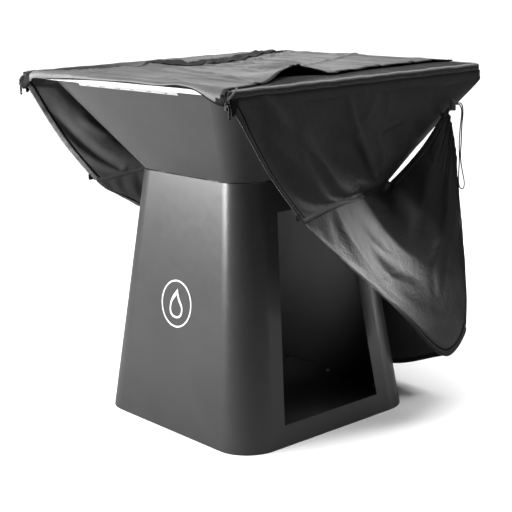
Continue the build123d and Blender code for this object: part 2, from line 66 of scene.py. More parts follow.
def unit(v):
    return v / np.maximum(np.linalg.norm(v, axis=-1, keepdims=True), 1e-12)


def through(points, count):
    """count points along a smooth curve through the given points, or through whole rows of them."""
    points = np.asarray(points, float)
    runs = np.linalg.norm(np.diff(points, axis=0), axis=-1).reshape(len(points) - 1, -1).mean(1)
    t = np.concatenate([[0], np.cumsum(runs)])
    wide = (-1,) + (1,) * (points.ndim - 1)
    slope = np.empty_like(points)
    slope[1:-1] = (points[2:] - points[:-2]) / (t[2:] - t[:-2]).reshape(wide)
    slope[0] = (points[1] - points[0]) / (t[1] - t[0])
    slope[-1] = (points[-1] - points[-2]) / (t[-1] - t[-2])
    at = np.linspace(0, t[-1], count)
    i = np.clip(np.searchsorted(t, at, side="right") - 1, 0, len(points) - 2)
    run = (t[i + 1] - t[i]).reshape(wide)
    s = (at - t[i]).reshape(wide) / run
    start = (2 * s**3 - 3 * s**2 + 1) * points[i] + (s**3 - 2 * s**2 + s) * run * slope[i]
    return start + (3 * s**2 - 2 * s**3) * points[i + 1] + (s**3 - s**2) * run * slope[i + 1]


def net_surface(rows, across, down):
    """A smooth sheet through rows of points, as an array [down, across, 3]."""
    return through(np.stack([through(row, across) for row in rows]), down)


def normals_of(sheet):
    """Unit normals of a sheet of points."""
    return unit(np.cross(np.gradient(sheet, axis=1), np.gradient(sheet, axis=0)))


def at_share(sheet, place):
    """The point of the sheet at (share across, share down)."""
    rows, columns = sheet.shape[:2]
    return sheet[round(place[1] * (rows - 1)), round(place[0] * (columns - 1))]


def add_fold(sheet, places, width, height, sharp=False):
    """Raises a fold on the sheet along a line of (share across, share down) places."""
    line = through([at_share(sheet, p) for p in places], 40)
    normal = normals_of(sheet)
    away = np.linalg.norm(sheet[:, :, None, :] - line, axis=-1)
    nearest, along = away.min(-1) / width, away.argmin(-1) / (len(line) - 1)
    shape = np.exp(-nearest) if sharp else np.exp(-(nearest**2))
    fade = np.sin(math.pi * (0.06 + 0.88 * along)) ** 0.6
    return sheet + normal * (height * shape * fade)[..., None]


def refined(sheet):
    """The same sheet with twice the points each way."""
    rows, columns = sheet.shape[:2]
    return through(np.stack([through(row, 2 * columns - 1) for row in sheet]), 2 * rows - 1)


def margin(sheet, side, near, far, steps):
    """A strip of the sheet from near to far in from one side, as [steps, along, 3]; near may be out
    of the sheet, and both may change along the side."""
    lines = {
        "first_row": sheet, "last_row": sheet[::-1],
        "first_column": sheet.swapaxes(0, 1), "last_column": sheet[:, ::-1].swapaxes(0, 1),
    }[side]
    run = np.linalg.norm(np.diff(lines[:20], axis=0), axis=-1).cumsum(axis=0)
    run = np.vstack([np.zeros(lines.shape[1]), run])
    strip = np.empty((steps, lines.shape[1], 3))
    beyond = unit(lines[2] - lines[0])
    for k, distances in enumerate(np.linspace(near, far, steps)):
        for i, distance in enumerate(np.broadcast_to(distances, lines.shape[1])):
            strip[k, i] = [np.interp(distance, run[:, i], lines[:20, i, axis]) for axis in range(3)]
            strip[k, i] += beyond[i] * min(distance, 0)
    return strip


def mesh_object(name, points, faces):
    mesh = bpy.data.meshes.new(name)
    mesh.from_pydata([tuple(p) for p in np.asarray(points).reshape(-1, 3)], [], faces)
    mesh.polygons.foreach_set("use_smooth", [True] * len(mesh.polygons))
    mesh.update()
    return link(bpy.data.objects.new(name, mesh))


def grid_faces(rows, columns):
    return [
        (i * columns + j, i * columns + j + 1, (i + 1) * columns + j + 1, (i + 1) * columns + j)
        for i in range(rows - 1) for j in range(columns - 1)
    ]


def ring_faces(rings, sides):
    """The wall of a tube made of rings of points; its ends stay open."""
    first = [(k, (k + 1) % sides, sides + (k + 1) % sides, sides + k) for k in range(sides)]
    return [tuple(i * sides + corner for corner in face) for i in range(rings - 1) for face in first]


def lengths_along(sheet, axis):
    """Distance run along each line of the sheet, with the middle line's spacing for all."""
    middle = sheet[sheet.shape[0] // 2] if axis == 1 else sheet[:, sheet.shape[1] // 2]
    steps = np.linalg.norm(np.diff(middle, axis=0), axis=-1)
    return np.concatenate([[0], np.cumsum(steps)])


def sheet_object(name, sheet):
    """A cloth mesh from a sheet of points, with a UV map "thread" in metres of fabric."""
    rows, columns = sheet.shape[:2]
    obj = mesh_object(name, sheet, grid_faces(rows, columns))
    u, v = lengths_along(sheet, 1), lengths_along(sheet, 0)
    layer = obj.data.uv_layers.new(name="thread")
    flat = [(u[k % columns], v[k // columns]) for k in (l.vertex_index for l in obj.data.loops)]
    layer.data.foreach_set("uv", np.array(flat).ravel())
    return obj


def thicken(obj, thickness):
    solid = obj.modifiers.new("cloth_thickness", "SOLIDIFY")
    solid.thickness, solid.offset = thickness, 0.0
    return obj


def dress(obj, material, body, slot, *replaced):
    """Gives a finished piece its material, its body and the CAD nodes that it stands for."""
    obj.data.materials.clear()
    obj.data.materials.append(material)
    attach(obj, body)
    if replaced:
        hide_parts(*replaced)
    return obj


# ---- Camera ----
def make_camera():
    az, el, roll = (math.radians(a) for a in (CAMERA_AZIMUTH, CAMERA_ELEVATION, CAMERA_ROLL))
    back = Vector((math.sin(az) * math.cos(el), -math.cos(az) * math.cos(el), math.sin(el)))
    right = Vector((math.cos(az), math.sin(az), 0))
    up = back.cross(right)
    across = right * math.cos(roll) + up * math.sin(roll)
    upward = up * math.cos(roll) - right * math.sin(roll)
    data = bpy.data.cameras.new("camera")
    data.sensor_width, data.lens = 36, CAMERA_LENS
    data.clip_start, data.clip_end = 0.05, 200
    camera = link(bpy.data.objects.new("camera", data))
    camera.matrix_world = Matrix.Translation(CAMERA_AIM + back * CAMERA_DISTANCE) @ Matrix(
        (across, upward, back)
    ).transposed().to_4x4()
    bpy.context.scene.camera = camera


make_camera()


# ---- Drawcord: leaves the lock, hangs in a narrow loop and comes back ----
def make_cord():
    out, across = Vector((0.655, 0.756, 0)), Vector((0.756, -0.655, 0))
    loop_points = [
        (7, 2.6, 0), (14, 2.7, 2), (20, 2.9, -5), (22, 2.8, -22), (18.5, 2.6, -52),
        (16, 3.2, -92), (17.5, 3.0, -134), (16, 3.2, -168), (15.5, 3.4, -190), (19, 2.8, -206),
        (29, 0, -209), (32, -2.8, -194), (27, -3.2, -170), (20, -3.0, -132), (22.5, -3.2, -90),
        (23, -3.0, -50), (26, -2.9, -20), (23.5, -2.8, 0), (15.5, -2.6, 5), (7, -2.5, 0.4),
    ]
    data = bpy.data.curves.new("drawcord", "CURVE")
    data.dimensions = "3D"
    data.bevel_depth, data.bevel_resolution, data.resolution_u = CORD_D / 2, 4, 10
    spline = data.splines.new("NURBS")
    spline.points.add(len(loop_points) - 1)
    for point, (a, b, c) in zip(spline.points, loop_points):
        point.co = (*(LOCK_AT + (out * a + across * b + Vector((0, 0, c))) * MM), 1)
    spline.order_u, spline.use_endpoint_u = 3, True
    cord = link(bpy.data.objects.new("drawcord", data))
    return cord


drawcord = make_cord()


# ---- Material helpers ----
class Shader:
    """A principled material with a few short ways to add procedural detail."""

    def __init__(self, name, colour, rough, metal=0.0, **constants):
        self.material = bpy.data.materials.new(name)
        self.material.use_nodes = True
        self.tree = self.material.node_tree
        self.surface = self.tree.nodes["Principled BSDF"]
        self.surface.inputs["Base Color"].default_value = (*colour, 1)
        self.surface.inputs["Roughness"].default_value = rough
        self.surface.inputs["Metallic"].default_value = metal
        for socket, value in constants.items():
            self.surface.inputs[socket.replace("_", " ")].default_value = value

    def node(self, kind, **settings):
        made = self.tree.nodes.new("ShaderNode" + kind)
        for name, value in settings.items():
            if name in made.inputs:
                made.inputs[name].default_value = value
            else:
                setattr(made, name, value)
        return made

    def link(self, source, target):
        self.tree.links.new(source, target)

    def place(self, scale=(1, 1, 1), threads=False):
        """Coordinates in metres: the fabric's own threads, or the row frame."""
        if threads:
            where = self.node("UVMap", uv_map="thread").outputs["UV"]
        else:
            where = self.node("TexCoord").outputs["Object"]
        mapping = self.node("Mapping")
        mapping.inputs["Scale"].default_value = scale
        self.link(where, mapping.inputs["Vector"])
        return mapping.outputs["Vector"]

    def noise(self, where, scale, detail=3.0, distortion=0.0, roughness=0.55):
        made = self.node("TexNoise")
        made.inputs["Scale"].default_value = scale
        made.inputs["Detail"].default_value = detail
        made.inputs["Roughness"].default_value = roughness
        made.inputs["Distortion"].default_value = distortion
        self.link(where, made.inputs["Vector"])
        return made.outputs["Fac"]

    def waves(self, where, scale, direction="X"):
        made = self.node("TexWave", wave_type="BANDS", bands_direction=direction)
        made.inputs["Scale"].default_value = scale
        self.link(where, made.inputs["Vector"])
        return made.outputs["Fac"]

    def math(self, operation, a, b):
        made = self.node("Math", operation=operation)
        for socket, value in zip(made.inputs, (a, b)):
            if isinstance(value, (int, float)):
                socket.default_value = value
            else:
                self.link(value, socket)
        return made.outputs[0]

    def spread(self, value, low, high):
        """Maps a value from 0..1 to low..high."""
        made = self.node("MapRange")
        for name, number in (("To Min", low), ("To Max", high)):
            made.inputs[name].default_value = number
        self.link(value, made.inputs["Value"])
        return made.outputs["Result"]

    def colours(self, value, stops):
        ramp = self.node("ValToRGB")
        while len(ramp.color_ramp.elements) < len(stops):
            ramp.color_ramp.elements.new(0.5)
        for element, (place, colour) in zip(ramp.color_ramp.elements, stops):
            element.position = place
            element.color = (*colour, 1)
        self.link(value, ramp.inputs["Fac"])
        self.link(ramp.outputs["Color"], self.surface.inputs["Base Color"])
        return ramp.outputs["Color"]

    def rough(self, value):
        self.link(value, self.surface.inputs["Roughness"])

    def bump(self, height, depth, strength=1.0, over=None):
        made = self.node("Bump")
        made.inputs["Strength"].default_value = strength
        made.inputs["Distance"].default_value = depth
        self.link(height, made.inputs["Height"])
        if over is not None:
            self.link(over, made.inputs["Normal"])
        self.link(made.outputs["Normal"], self.surface.inputs["Normal"])
        return made.outputs["Normal"]


def grey(value):
    return (value, value, value)


# ---- Materials ----
def powder_coat(name="black_powder_coat", dark=0.033):
    """Black satin powder coat on steel: fine orange peel, faint dust."""
    s = Shader(name, grey(dark), 0.42)
    here = s.place()
    dust = s.noise(here, 9, 4, 0.4)
    s.colours(dust, [(0.25, grey(dark)), (0.8, (dark * 1.3, dark * 1.3, dark * 1.33))])
    s.rough(s.spread(s.noise(here, 55, 3), 0.27, 0.35))
    s.bump(s.noise(here, 900, 2), 0.12 * MM, 0.35)
    return s.material


def cover_fabric(name="cover_fabric", dark=0.015, crumple=1.3, gloss=0.36, sheen=0.006):
    """Black coated polyester: plain weave, a soft sheen, small crumples from being folded."""
    s = Shader(name, grey(dark), 0.5, Specular_IOR_Level=gloss, Sheen_Weight=sheen, Sheen_Roughness=0.45)
    here, thread = s.place(), s.place(threads=True)
    tint = s.noise(here, 14, 5, 0.6)
    s.colours(tint, [(0.3, grey(dark * 0.85)), (0.75, (dark * 1.3, dark * 1.3, dark * 1.36))])
    s.rough(s.spread(s.noise(here, 30, 4), 0.5, 0.62))
    weave = s.math("MULTIPLY", s.waves(thread, 640, "X"), s.waves(thread, 640, "Y"))
    woven = s.bump(weave, 0.06 * MM, 0.25)
    creases = s.noise(here, 42, 5, 1.6, 0.6)
    soft = s.bump(creases, 1.8 * MM * crumple, 0.6, over=woven)
    s.bump(s.noise(here, 11, 3, 0.8), 2.5 * MM * crumple, 0.4, over=soft)
    return s.material


def zip_tape(name="zip_tape", dark=0.012):
    """Matte knitted zip tape, ribbed along its length."""
    s = Shader(name, grey(dark), 0.8, Specular_IOR_Level=0.3)
    here = s.place()
    s.colours(s.noise(here, 60, 3), [(0.3, grey(dark * 0.75)), (0.8, grey(dark * 1.5))])
    s.bump(s.noise(here, 700, 2), 0.3 * MM, 0.6)
    return s.material


def plate_steel():
    """Bare steel, dull and a little dusty, with a faint heat tint."""
    s = Shader("plate_steel", grey(0.42), 0.6, 0.5)
    here = s.place()
    s.colours(s.noise(here, 5, 4, 0.5), [(0.3, (0.36, 0.355, 0.35)), (0.75, (0.45, 0.45, 0.45))])
    s.rough(s.spread(s.noise(s.place((4, 4, 60)), 20, 3), 0.55, 0.68))
    s.bump(s.noise(here, 650, 2), 0.1 * MM, 0.4)
    return s.material


def grate_iron():
    """Dark seasoned iron rods, slightly scaled."""
    s = Shader("grate_iron", grey(0.05), 0.6, 0.6)
    here = s.place()
    s.colours(s.noise(here, 35, 5), [(0.3, (0.03, 0.028, 0.027)), (0.75, (0.085, 0.075, 0.068))])
    s.rough(s.spread(s.noise(here, 90, 3), 0.45, 0.75))
    s.bump(s.noise(here, 320, 3), 0.4 * MM, 0.6)
    return s.material


def bright_metal(name, colour, rough, grain=500):
    """Plated small hardware with fine handling marks."""
    s = Shader(name, colour, rough, 1.0)
    here = s.place()
    low, high = ([c * k for c in colour] for k in (0.8, 1.08))
    s.colours(s.noise(here, 120, 4), [(0.3, low), (0.8, high)])
    s.rough(s.spread(s.noise(here, 260, 3), rough * 0.8, rough * 1.35))
    s.bump(s.noise(here, grain, 2), 0.05 * MM, 0.4)
    return s.material


def white_enamel():
    """Printed white enamel of the emblem, a little chalky."""
    s = Shader("white_enamel", grey(0.85), 0.5)
    here = s.place()
    s.colours(s.noise(here, 80, 4), [(0.3, grey(0.78)), (0.8, grey(0.9))])
    s.bump(s.noise(here, 600, 2), 0.05 * MM, 0.4)
    return s.material


def label_film():
    """White film with a row of small broken dashes in place of its print."""
    film, ink = grey(0.62), grey(0.07)
    s = Shader("label_film", film, 0.5)
    here = s.place()
    split = s.node("SeparateXYZ")
    s.link(here, split.inputs["Vector"])
    pitch, dash_share, half_height = 0.062, 0.36, 1.1 * MM
    line_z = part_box("rim_label")[0].z + 2.3 * MM
    along = s.math("FRACT", s.math("MULTIPLY", split.outputs["X"], 1 / pitch), 0)
    in_dash = s.math("LESS_THAN", along, dash_share)
    near = s.math("COMPARE", split.outputs["Z"], line_z)
    near.node.inputs[2].default_value = half_height
    mark = s.math("MULTIPLY", in_dash, near)
    broken = s.math("GREATER_THAN", s.noise(s.place((260, 1, 1)), 1, 2), 0.47)
    s.colours(s.math("MULTIPLY", mark, broken), [(0.0, film), (1.0, ink)])
    s.bump(s.noise(here, 300, 2), 0.04 * MM, 0.3)
    return s.material


def plastic(name, colour, rough):
    s = Shader(name, colour, rough)
    here = s.place()
    low, high = ([c * k for c in colour] for k in (0.9, 1.06))
    s.colours(s.noise(here, 200, 3), [(0.3, low), (0.8, high)])
    s.rough(s.spread(s.noise(here, 300, 2), rough * 0.85, rough * 1.2))
    s.bump(s.noise(here, 1500, 2), 0.03 * MM, 0.4)
    return s.material


def cord_braid():
    """Black braided cord with a few paler flecks."""
    s = Shader("cord_braid", grey(0.02), 0.65)
    here = s.place()
    s.colours(s.noise(here, 420, 2), [(0.42, grey(0.004)), (0.75, grey(0.02))])
    turns = s.waves(s.place((1, 1, 0.6)), 110, "DIAGONAL")
    s.bump(turns, 0.5 * MM, 0.8)
    return s.material


def thread_material():
    s = Shader("sewing_thread", grey(0.2), 0.6)
    here = s.place()
    s.colours(s.noise(here, 150, 3), [(0.3, grey(0.1)), (0.8, grey(0.26))])
    s.bump(s.noise(here, 1800, 2), 0.08 * MM, 0.6)
    return s.material


def floor_material():
    """White paper sweep; it throws back less light than it shows, as if dark flags stood round it."""
    s = Shader("studio_floor", grey(0.88), 0.8, Specular_IOR_Level=0.0)
    here = s.place()
    paper = s.noise(here, 1.5, 3)
    seen = s.node("LightPath").outputs["Is Camera Ray"]
    bounce = s.spread(seen, FLOOR_BOUNCE, 0.88)
    s.colours(s.math("MULTIPLY", bounce, s.spread(paper, 0.98, 1.0)), [(0.0, grey(0)), (1.0, grey(1))])
    s.rough(s.spread(s.noise(here, 6, 3), 0.7, 0.85))
    return s.material


POWDER, FABRIC, TAPE = powder_coat(), cover_fabric(), zip_tape()
# the other cover fabrics: how light, how crumpled, gloss, sheen
# painted shade: a near-black copy of the cover fabric without gloss, for the shade in the corner gathers,
# beside the zips and under the front roll
SHADE_FABRIC = cover_fabric("fabric_painted_shade", 0.006, 1.6, 0.05, 0.0)
COATED = cover_fabric("cover_fabric_inside", 0.066, 1.0, 0.5, 0.065)
# painted highlight: a pale, glossy copy of the cover fabric for the band's rolled top edge
ROLL_HIGHLIGHT = cover_fabric("band_roll_painted_highlight", 0.12, 0.6, 0.8, 0.1)
# painted light: a pale copy of the zip tape, for the left zips and the flap's tape end where they catch the
# light
LIT_TAPE = zip_tape("zip_tape_painted_light", 0.15)
THREAD = thread_material()
CORD = cord_braid()
ZINC = bright_metal("zinc_fasteners", (0.62, 0.62, 0.64), 0.3)
SLIDER = bright_metal("slider_metal", (0.02, 0.02, 0.022), 0.45)
# painted highlight: pale metal for the right zips' teeth, standing in for a thin bright rim along the edge;
# the other teeth are black
TEETH_HIGHLIGHT = bright_metal("zip_teeth", (0.3, 0.3, 0.31), 0.34)
node_looks = {
    "pedestal_shell": POWDER, "floor_rails": POWDER, "store_floor": POWDER,
    # painted shade: the deck is near black, for the dark gap under the bowl
    "top_deck": powder_coat("deck_coat_painted_shade", 0.008),
    # painted light: the bowl's coat is a lighter copy of the pedestal's, for more light on the bowl
    "fire_bowl": powder_coat("bowl_coat_painted_light", 0.043),
    "floor_bolts": ZINC, "floor_nuts": ZINC, "bowl_bolts": ZINC, "bowl_nuts": ZINC,
    "emblem": white_enamel(), "rim_label": label_film(),
    "plancha_plate": plate_steel(), "zip_slider_right": SLIDER, "zip_slider_left": SLIDER,
    "zip_puller_right": SLIDER, "zip_puller_left": SLIDER,
    "cord_lock_body": plastic("lock_plastic", (0.03, 0.03, 0.032), 0.5),
    "cord_lock_spring": bright_metal("spring_steel", (0.6, 0.6, 0.6), 0.3),
    "hem_eyelet": bright_metal("eyelet_metal", (0.12, 0.12, 0.125), 0.3),
    "neck_tab_right": TAPE, "neck_tab_left": TAPE,
}
node_looks["cord_lock_button"] = node_looks["cord_lock_body"]
node_looks["plate_lugs"] = node_looks["grate_tabs"] = node_looks["plancha_plate"]
node_looks["fire_grate"] = node_looks["cooking_grate"] = grate_iron()
for name, node in NODES.items():
    node.data.materials.clear()
    node.data.materials.append(node_looks.get(name, FABRIC))


# ---- Cover: side and rear panels, hung on nets of points (millimetres, as in the CAD source) ----
def mirrored(rows):
    return [[(-x, y, z) for x, y, z in row] for row in rows]


upper_right = [
    [(403.5, -400, 861.5), (403.5, -130, 861.5), (403.5, 135, 861.5), (403.5, 403, 861.5)],
    [(403.5, -394, 849), (403.5, -128, 849), (403.5, 135, 849), (403.5, 403, 849)],
    [(403.5, -387, 838), (403.5, -126, 838), (403.5, 135, 838), (403.5, 403, 838)],
    [(403.5, -345, 768), (403.5, -112, 768), (394, 122, 772), (366, 366, 782)],
    [(403.5, -287, 680), (398, -92, 681), (364, 108, 686), (305, 305, 690)],
    [(403.5, -200, 574), (376, -64, 590), (321, 80, 584), (245, 245, 588)],
]
lower_right = [
    [(403.5, -198, 570), (376, -63, 586), (321, 81, 580), (256, 240, 586), (320, 278, 668),
     (390, 302, 778)],
    [(404, -186, 558), (404, -62, 512), (392, 92, 440), (376, 246, 400), (388, 314, 455),
     (398, 312, 715)],
    [(406, -170, 543), (415, -60, 445), (430, 100, 303), (440, 245, 173), (421, 345, 228),
     (402, 322, 640)],
]
lower_left = [
    [(-403.5, -198, 570), (-376, -63, 586), (-321, 81, 580), (-256, 240, 586), (-322, 276, 662),
     (-390, 302, 776)],
    [(-404, -186, 558), (-402, -62, 534), (-388, 92, 462), (-376, 246, 425), (-388, 314, 470),
     (-398, 312, 715)],
    [(-405, -170, 546), (-410, -60, 484), (-420, 100, 378), (-432, 250, 262), (-421, 345, 300),
     (-402, 322, 640)],
]
upper_rear = [
    [(-399, 403.5, 861.5), (-130, 403.5, 861.5), (130, 403.5, 861.5), (399, 403.5, 861.5)],
    [(-399, 403.5, 849), (-130, 403.5, 849), (130, 403.5, 849), (399, 403.5, 849)],
    [(-399, 403.5, 838), (-130, 403.5, 838), (130, 403.5, 838), (399, 403.5, 838)],
    [(-361, 366, 782), (-124, 376, 778), (124, 376, 778), (361, 366, 782)],
    [(-300, 305, 690), (-104, 322, 684), (104, 322, 684), (300, 305, 690)],
    [(-240, 247, 588), (-82, 264, 582), (82, 264, 582), (240, 247, 588)],
]
lower_rear = [
    [(-240, 250, 584), (-82, 266, 578), (82, 266, 578), (240, 250, 584)],
    [(-262, 296, 440), (-90, 300, 420), (96, 304, 420), (262, 296, 440)],
    [(-290, 345, 260), (-100, 342, 240), (108, 346, 235), (288, 344, 265)],
    [(-312, 385, 92), (-120, 392, 40), (122, 390, 44), (310, 385, 108)],
]

# (places along the fold as shares across and down, width, height in mm, sharp)
upper_right_folds = [
    ([(0.03, 0.15), (0.14, 0.56), (0.23, 0.89)], 18, 8, False),
    ([(0.10, 0.07), (0.20, 0.40), (0.31, 0.69), (0.41, 0.91)], 22, 13, False),
    ([(0.16, 0.30), (0.24, 0.62), (0.30, 0.90)], 14, -7, False),
    ([(0.30, 0.40), (0.42, 0.64), (0.54, 0.90)], 46, -29, False),
    ([(0.43, 0.12), (0.46, 0.36), (0.50, 0.52), (0.72, 0.93)], 11, 11, False),
    ([(0.55, 0.10), (0.51, 0.22), (0.46, 0.36)], 10, 7, False),
    ([(0.56, 0.40), (0.63, 0.62), (0.71, 0.86)], 9, 6, False),
    ([(0.57, 0.41), (0.72, 0.38)], 9, 6, False),
    ([(0.60, 0.40), (0.84, 0.52)], 40, -12, False),
    ([(0.60, 0.04), (0.62, 0.36)], 26, 3, True),
]
lower_right_folds = [
    ([(0.97, 0.04), (0.80, 0.18), (0.68, 0.24), (0.58, 0.34)], 18, 5, False),
    ([(0.88, 0.32), (0.79, 0.43), (0.68, 0.44), (0.59, 0.53), (0.53, 0.74)], 13, 6, False),
    ([(0.74, 0.55), (0.62, 0.60), (0.55, 0.76)], 11, 4, False),
    ([(0.64, 0.56), (0.56, 0.70)], 16, -4, False),
    ([(0.30, 0.73), (0.43, 0.56)], 14, 5, True),
    ([(0.30, 0.73), (0.20, 0.40), (0.12, 0.20)], 22, 5, True),
    ([(0.15, 0.60), (0.30, 0.45), (0.45, 0.30)], 60, -10, False),
]
left_folds = [
    ([(0.05, 0.08), (0.14, 0.45), (0.34, 0.90)], 34, -20, False),
    ([(0.03, 0.30), (0.08, 0.62), (0.16, 0.92)], 13, 9, False),
    ([(0.20, 0.06), (0.30, 0.45), (0.46, 0.94)], 22, 23, False),
    ([(0.12, 0.40), (0.19, 0.52), (0.28, 0.56)], 12, -7, False),
    ([(0.27, 0.30), (0.24, 0.52)], 6, -6, True),
    ([(0.32, 0.34), (0.29, 0.58)], 6, -6, True),
    ([(0.55, 0.15), (0.60, 0.60), (0.80, 0.90)], 18, 8, False),
]
left_low_folds = [
    ([(0.97, 0.04), (0.80, 0.20), (0.60, 0.34)], 18, 8, False),
    ([(0.88, 0.32), (0.70, 0.44), (0.55, 0.72)], 14, 9, False),
    ([(0.15, 0.60), (0.30, 0.45), (0.45, 0.30)], 50, -9, False),
]
rear_folds = [
    ([(0.12, 0.10), (0.22, 0.55), (0.30, 0.92)], 22, 9, False),
    ([(0.90, 0.10), (0.76, 0.55), (0.70, 0.92)], 22, 9, False),
    ([(0.50, 0.25), (0.48, 0.60), (0.52, 0.95)], 60, -12, False),
]

PANELS = {
    # node: (net, folds, side that faces out, flat size and area of the cut, in metres)
    "cover_right_upper": (upper_right, upper_right_folds, 1, (0.80, 0.315), 0.203),
    "cover_right_lower": (lower_right, lower_right_folds, 1, (0.66, 0.565), 0.18),
    "cover_left_upper": (mirrored(upper_right), left_folds, -1, (0.80, 0.315), 0.203),
    "cover_left_lower": (lower_left, left_low_folds, -1, (0.66, 0.565), 0.18),
    "cover_rear_upper": (upper_rear, rear_folds, -1, (0.80, 0.315), 0.203),
    "cover_rear_lower": (lower_rear, rear_folds, -1, (0.66, 0.565), 0.324),
}
ACROSS, DOWN = 76, 64
ZIP_SHARE = 0.62  # how much of the lower part's last row is its zip edge; the rest is hem
PUCKER_FADE = 14  # how fast the puckers die out away from the edge
PUCKER_SIDEWAYS, PUCKER_OUT, HEM_PUCKER = 2.5, 3.4, 2.2  # mm


def puckered(sheet):
    """Small waves along the last column and the hem part of the last row, where the hem pulls."""
    down, across = np.linspace(0, 1, sheet.shape[0]), np.linspace(0, 1, sheet.shape[1])
    out, sideways = normals_of(sheet), unit(sheet[:, -1] - sheet[:, -4])
    wave = (np.sin(down * 41) + 0.7 * np.sin(down * 97 + 1)) * np.sin(math.pi * down) ** 0.3
    near = np.exp((across - 1) * PUCKER_FADE)
    push = sideways[:, None] * PUCKER_SIDEWAYS + out * PUCKER_OUT
    moved = sheet + (wave[:, None] * near)[..., None] * push * MM
    wave = (np.sin(across * 53) + np.sin(across * 31)) * np.clip((across - ZIP_SHARE) * 8, 0, 1)
    near = np.exp((down - 1) * PUCKER_FADE)
    return moved + (near[:, None] * wave * HEM_PUCKER * MM)[..., None] * out


def panel_cloth(name, net, folds, outward):
    sheet = net_surface(np.array(net) * MM, ACROSS, DOWN)
    for places, width, height, sharp in folds:
        sheet = add_fold(sheet, places, width * MM, -outward * height * MM, sharp)
    if name.endswith("lower") and "rear" not in name:
        sheet = puckered(sheet)
    return sheet_object(name, sheet)


def hang(cloths):
    """Lets the panels settle as cloth between the seams that hold them, all in one simulation."""
    for obj in cloths:
        held = obj.vertex_groups.new(name="held")
        edge = [
            i * ACROSS + j for i in range(DOWN) for j in range(ACROSS)
            if i in (0, DOWN - 1) or j in (0, ACROSS - 1)
        ]
        held.add(edge, 1.0, "REPLACE")
        cloth = obj.modifiers.new("cloth", "CLOTH").settings
        cloth.quality = 5
        cloth.mass = 0.12
        cloth.tension_stiffness = cloth.compression_stiffness = 18
        cloth.shear_stiffness = 6
        cloth.bending_stiffness = 6
        cloth.tension_damping = cloth.compression_damping = 8
        cloth.shrink_min = -SLACK
        cloth.effector_weights.gravity = 0.3
        cloth.vertex_group_mass = "held"
    for step in range(1, SIM_FRAMES + 1):
        bpy.context.scene.frame_set(step)
    settled = []
    for obj in cloths:
        mesh = obj.evaluated_get(bpy.context.evaluated_depsgraph_get()).to_mesh()
        co = np.zeros(len(mesh.vertices) * 3)
        mesh.vertices.foreach_get("co", co)
        settled.append(co.reshape(DOWN, ACROSS, 3))
        obj.evaluated_get(bpy.context.evaluated_depsgraph_get()).to_mesh_clear()
    bpy.context.scene.frame_set(1)
    return settled


PLATE_CLEAR = 403.4 * MM  # how far out the cloth stays beside the plate's edge
PLATE_PASSES = 840 * MM  # how low the plate's edge passes when the cover is lifted


def clear_of_plate(name, sheet):
    """Keeps the top of an upper panel outside the plate's edge."""
    if name.endswith("upper"):
        axis = 1 if "rear" in name else 0
        side = -1 if "left" in name else 1
        least = PLATE_CLEAR - np.clip(PLATE_PASSES - sheet[..., 2], 0, None)
        sheet[..., axis] = side * np.maximum(side * sheet[..., axis], least)
    return sheet


def hung_sheets():
    """The panels' final sheets of points, with twice the points that the simulation had."""
    first = [panel_cloth(name, *PANELS[name][:3]) for name in PANELS]
    sheets = hang(first)
    for obj in first:
        mesh = obj.data
        bpy.data.objects.remove(obj)
        bpy.data.meshes.remove(mesh)
    return {name: clear_of_plate(name, refined(sheet)) for name, sheet in zip(PANELS, sheets)}


def fabric_piece(name, sheet, node, inside=1):
    """A panel of cover fabric; inside is 1 or -1, as the coated face lies behind the sheet or before it."""
    obj = thicken(sheet_object(name, sheet), CLOTH_T)
    dress(obj, FABRIC, "cover", "cover_fabric", node)
    obj.data.materials.append(COATED)
    obj.modifiers["cloth_thickness"].material_offset = inside
    obj.data.polygons.foreach_set("material_index", [max(-inside, 0)] * len(obj.data.polygons))
    return obj


sheets = hung_sheets()
for node, (net, folds, outward, flat, area) in PANELS.items():
    fabric_piece(node + "_cloth", sheets[node], node, inside=-outward)


# ---- Cover: seams, hems and bindings along the panels' edges ----
def strip_piece(name, strip, thickness, material, slot, *replaced):
    """A flat band of fabric, thicker than the panel that it is sewn round."""
    obj = thicken(sheet_object(name, strip), thickness)
    return dress(obj, material, "cover", slot, *replaced)


def bead_rows(name, rows, pitch, half_sizes, material, slot):
    """Small beads along lines of points, as one piece: stitches, or the teeth of a zip."""
    corners, faces = [], []
    half_along, half_across, half_up = half_sizes
    for line, up in rows:
        run = np.concatenate([[0], np.linalg.norm(np.diff(line, axis=0), axis=-1).cumsum()])
        for distance in (np.arange(int(run[-1] / pitch)) + 0.5) * pitch:
            place, ahead, normal = (
                np.array([np.interp(at, run, values[:, axis]) for axis in range(3)])
                for at, values in ((distance, line), (distance + 0.5 * pitch, line), (distance, up))
            )
            along = unit(ahead - place)
            across = unit(np.cross(along, normal))
            start = len(corners)
            corners += [
                place + along * half_along, place + across * half_across,
                place - along * half_along, place - across * half_across,
                place + normal * half_up, place - normal * half_up,
            ]
            faces += [(start + i, start + (i + 1) % 4, start + 4) for i in range(4)]
            faces += [(start + (i + 1) % 4, start + i, start + 5) for i in range(4)]
    return dress(mesh_object(name, corners, faces), material, "cover", slot)


def sewn_line(sheet, side, inset, lift):
    """Stitch lines on both faces of a sheet, inset from one of its sides."""
    strip = margin(sheet, side, inset - MM, inset + MM, 3)
    normal = normals_of(strip)[1]
    return [(strip[1] + normal * lift, normal), (strip[1] - normal * lift, normal)]


STITCH = (1.5 * MM, 0.35 * MM, 0.3 * MM)
TOOTH = (0.75 * MM, 1.7 * MM, 1.1 * MM)


def sew(name, rows):
    bead_rows(name, rows, 4.4 * MM, STITCH, THREAD, "zip_tape")


